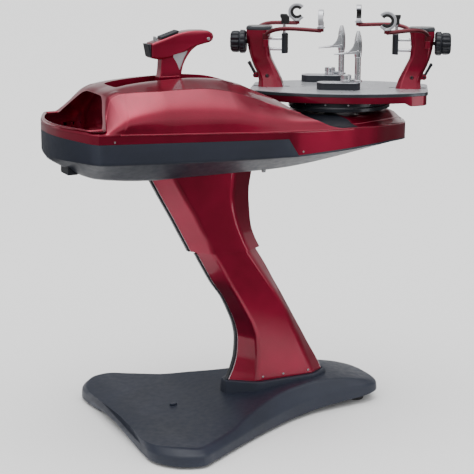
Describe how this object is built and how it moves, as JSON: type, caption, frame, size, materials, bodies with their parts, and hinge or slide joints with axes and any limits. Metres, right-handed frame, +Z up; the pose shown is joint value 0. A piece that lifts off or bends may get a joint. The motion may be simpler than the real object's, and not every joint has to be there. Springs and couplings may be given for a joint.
{
  "type": "racket stringing machine",
  "caption": "Constant-pull racket stringing machine: boat-shaped hull with tension head and tool tray, turntable with racket supports, on a leaning column and splayed moulded base.",
  "frame": {"origin": "on the floor, under the middle of the whole machine", "axes": "+Z up; +X along the hull from the tool tray to the turntable; +Y to the far side, away from the pictured side"},
  "size_m": [1.126, 0.714, 1.1233],
  "materials": {
    "red_shell": "metallic red lacquer on a moulded shell",
    "red_metal": "metallic red lacquer on a casting",
    "grey_moulding": "satin blue-grey moulding",
    "black_plastic": "fine-textured black moulding",
    "rubber": "soft black rubber",
    "chrome": "polished chrome",
    "steel": "machined steel",
    "silver": "satin anodised aluminium",
    "dark_plate": "dark anodised aluminium with a bright rim",
    "dark_metal": "dark red-brown lacquer",
    "circuit": "green circuit board"
  },
  "bodies": {
    "stand": {"base_cover": "grey_moulding", "base_frame": "steel", "foot_rear_near": "rubber", "foot_rear_far": "rubber", "foot_front_near": "rubber", "foot_front_far": "rubber", "lower_column": "red_shell", "column_edge_trim": "black_plastic", "outer_mast": "steel"},
    "upper": {"column_sleeve": "red_shell", "sleeve_edge_trim": "black_plastic", "inner_mast": "steel", "chassis": "steel", "hull_tub": "grey_moulding", "hull_cover": "red_shell", "power_inlet": "black_plastic", "control_console": "black_plastic", "rail_bed": "steel", "drive_motor": "black_plastic", "power_supply": "silver", "circuit_board": "circuit", "turntable_bearing": "steel"},
    "switch": {"power_switch": "black_plastic"},
    "down_key": {"key_down": "silver"},
    "up_key": {"key_up": "silver"},
    "screw": {"lead_screw": "steel"},
    "tension": {"tension_carriage": "silver", "tension_head": "red_shell", "head_end_cap": "black_plastic", "gripper_plate": "black_plastic"},
    "jaw": {"gripper_jaw": "chrome"},
    "roller": {"string_roller": "chrome"},
    "turntable": {"turntable_plate": "dark_plate", "turntable_skirt": "red_shell"},
    "near_clamp_foot": {"near_clamp_base": "black_plastic"},
    "near_clamp_column": {"near_clamp_post": "chrome"},
    "near_clamp_handle": {"near_clamp_lever": "chrome"},
    "far_clamp_foot": {"far_clamp_base": "black_plastic"},
    "far_clamp_column": {"far_clamp_post": "chrome"},
    "far_clamp_handle": {"far_clamp_lever": "chrome"},
    "right_tower": {"right_tower_body": "red_metal", "right_tower_cap": "silver"},
    "right_knob": {"right_tower_knob": "black_plastic"},
    "right_latch": {"right_tower_latch": "black_plastic"},
    "right_support": {"right_frame_support": "chrome"},
    "right_pad": {"right_hold_down_pad": "black_plastic"},
    "right_long_holder": {"right_long_arm": "dark_metal"},
    "right_short_holder": {"right_short_arm": "dark_metal"},
    "right_long_grip": {"right_long_hook": "rubber"},
    "right_short_grip": {"right_short_hook": "rubber"},
    "left_tower": {"left_tower_body": "red_metal", "left_tower_cap": "silver"},
    "left_knob": {"left_tower_knob": "black_plastic"},
    "left_latch": {"left_tower_latch": "black_plastic"},
    "left_support": {"left_frame_support": "chrome"},
    "left_pad": {"left_hold_down_pad": "black_plastic"},
    "left_long_holder": {"left_long_arm": "dark_metal"},
    "left_short_holder": {"left_short_arm": "dark_metal"},
    "left_long_grip": {"left_long_hook": "rubber"},
    "left_short_grip": {"left_short_hook": "rubber"}
  },
  "joints": [
    {"name": "height_slide", "type": "slide", "parent": "stand", "child": "upper", "axis": [-0.4683, 0, 0.8836], "range_m": [0, 0.1]},
    {"name": "power_rocker", "type": "hinge", "parent": "upper", "child": "switch", "pos_m": [-0.52962, -0.031, 0.737], "axis": [0, 1, 0], "range_deg": [-6, 6]},
    {"name": "down_key_press", "type": "slide", "parent": "upper", "child": "down_key", "axis": [0, -0.7071, -0.7071], "range_m": [0, 0.0015], "stiffness_N_per_m": 400, "springref_m": -0.0005},
    {"name": "up_key_press", "type": "slide", "parent": "upper", "child": "up_key", "axis": [0, -0.7071, -0.7071], "range_m": [0, 0.0015], "stiffness_N_per_m": 400, "springref_m": -0.0005},
    {"name": "tension_slide", "type": "slide", "parent": "upper", "child": "tension", "axis": [1, 0, 0], "range_m": [-0.11, 0.055]},
    {"name": "screw_spin", "type": "hinge", "parent": "upper", "child": "screw", "pos_m": [-0.23662, 0, 0.86], "axis": [1, 0, 0], "range_deg": [-1700, 900]},
    {"name": "jaw_tilt", "type": "hinge", "parent": "tension", "child": "jaw", "pos_m": [-0.26862, 0, 1.04881], "axis": [0, 1, 0], "range_deg": [-20, 25]},
    {"name": "roller_spin", "type": "hinge", "parent": "tension", "child": "roller", "pos_m": [-0.12662, 0, 1.055], "axis": [0, 1, 0], "continuous": true},
    {"name": "turntable_spin", "type": "hinge", "parent": "upper", "child": "turntable", "pos_m": [0.28338, 0, 0.858], "axis": [0, 0, 1], "continuous": true},
    {"name": "near_clamp_swivel", "type": "hinge", "parent": "turntable", "child": "near_clamp_foot", "pos_m": [0.2222, -0.02545, 0.913], "axis": [0, 0, 1], "range_deg": [-20, 20]},
    {"name": "near_clamp_turn", "type": "hinge", "parent": "near_clamp_foot", "child": "near_clamp_column", "pos_m": [0.29886, -0.07335, 0.93], "axis": [0, 0, 1], "range_deg": [-60, 60]},
    {"name": "near_clamp_grip", "type": "hinge", "parent": "near_clamp_column", "child": "near_clamp_handle", "pos_m": [0.29886, -0.07335, 1.006], "axis": [0.5299, 0.848, 0], "range_deg": [-30, 40]},
    {"name": "far_clamp_swivel", "type": "hinge", "parent": "turntable", "child": "far_clamp_foot", "pos_m": [0.26596, 0.14649, 0.913], "axis": [0, 0, 1], "range_deg": [-20, 20]},
    {"name": "far_clamp_turn", "type": "hinge", "parent": "far_clamp_foot", "child": "far_clamp_column", "pos_m": [0.34432, 0.09753, 0.93], "axis": [0, 0, 1], "range_deg": [-60, 60]},
    {"name": "far_clamp_grip", "type": "hinge", "parent": "far_clamp_column", "child": "far_clamp_handle", "pos_m": [0.34432, 0.09753, 1.006], "axis": [0.5299, 0.848, 0], "range_deg": [-30, 40]},
    {"name": "right_tower_slide", "type": "slide", "parent": "turntable", "child": "right_tower", "axis": [0.848, -0.5299, 0], "range_m": [-0.02, 0.015]},
    {"name": "right_support_slide", "type": "slide", "parent": "right_tower", "child": "right_support", "axis": [0.848, -0.5299, 0], "range_m": [-0.015, 0.012]},
    {"name": "right_knob_spin", "type": "hinge", "parent": "right_tower", "child": "right_knob", "pos_m": [0.52083, -0.14838, 1.026], "axis": [0.848, -0.5299, 0], "range_deg": [-1400, 1150]},
    {"name": "right_latch_flip", "type": "hinge", "parent": "right_tower", "child": "right_latch", "pos_m": [0.48182, -0.124, 0.934], "axis": [0.5299, 0.848, 0], "range_deg": [-4, 40]},
    {"name": "right_pad_lift", "type": "slide", "parent": "right_support", "child": "right_pad", "axis": [0, 0, 1], "range_m": [-0.012, 0.008]},
    {"name": "right_long_arm_swing", "type": "hinge", "parent": "right_tower", "child": "right_long_holder", "pos_m": [0.47726, -0.0728, 1.045], "axis": [0, 0, 1], "range_deg": [-20, 25]},
    {"name": "right_short_arm_swing", "type": "hinge", "parent": "right_tower", "child": "right_short_holder", "pos_m": [0.46519, -0.16195, 1.045], "axis": [0, 0, 1], "range_deg": [-20, 20]},
    {"name": "right_long_hook_swivel", "type": "hinge", "parent": "right_long_holder", "child": "right_long_grip", "pos_m": [0.37602, 0.05767, 1.08], "axis": [0, 0, 1], "range_deg": [-30, 30]},
    {"name": "right_short_hook_swivel", "type": "hinge", "parent": "right_short_holder", "child": "right_short_grip", "pos_m": [0.31944, -0.18762, 1.08], "axis": [0, 0, 1], "range_deg": [-30, 30]},
    {"name": "left_tower_slide", "type": "slide", "parent": "turntable", "child": "left_tower", "axis": [-0.848, 0.5299, 0], "range_m": [-0.02, 0.015]},
    {"name": "left_support_slide", "type": "slide", "parent": "left_tower", "child": "left_support", "axis": [-0.848, 0.5299, 0], "range_m": [-0.015, 0.012]},
    {"name": "left_knob_spin", "type": "hinge", "parent": "left_tower", "child": "left_knob", "pos_m": [0.04593, 0.14838, 1.026], "axis": [-0.848, 0.5299, 0], "range_deg": [-1400, 1150]},
    {"name": "left_latch_flip", "type": "hinge", "parent": "left_tower", "child": "left_latch", "pos_m": [0.08494, 0.124, 0.934], "axis": [-0.5299, -0.848, 0], "range_deg": [-4, 40]},
    {"name": "left_pad_lift", "type": "slide", "parent": "left_support", "child": "left_pad", "axis": [0, 0, 1], "range_m": [-0.012, 0.008]},
    {"name": "left_long_arm_swing", "type": "hinge", "parent": "left_tower", "child": "left_long_holder", "pos_m": [0.0895, 0.0728, 1.045], "axis": [0, 0, 1], "range_deg": [-20, 25]},
    {"name": "left_short_arm_swing", "type": "hinge", "parent": "left_tower", "child": "left_short_holder", "pos_m": [0.10158, 0.16195, 1.045], "axis": [0, 0, 1], "range_deg": [-20, 20]},
    {"name": "left_long_hook_swivel", "type": "hinge", "parent": "left_long_holder", "child": "left_long_grip", "pos_m": [0.19074, -0.05767, 1.08], "axis": [0, 0, 1], "range_deg": [-30, 30]},
    {"name": "left_short_hook_swivel", "type": "hinge", "parent": "left_short_holder", "child": "left_short_grip", "pos_m": [0.24732, 0.18762, 1.08], "axis": [0, 0, 1], "range_deg": [-30, 30]}
  ],
  "couplings": [
    {"joint": "screw_spin", "follows": "tension_slide", "rad_per_m": 251.33},
    {"joint": "right_knob_spin", "follows": "right_support_slide", "rad_per_m": 1570.8},
    {"joint": "left_knob_spin", "follows": "left_support_slide", "rad_per_m": 1570.8}
  ]
}
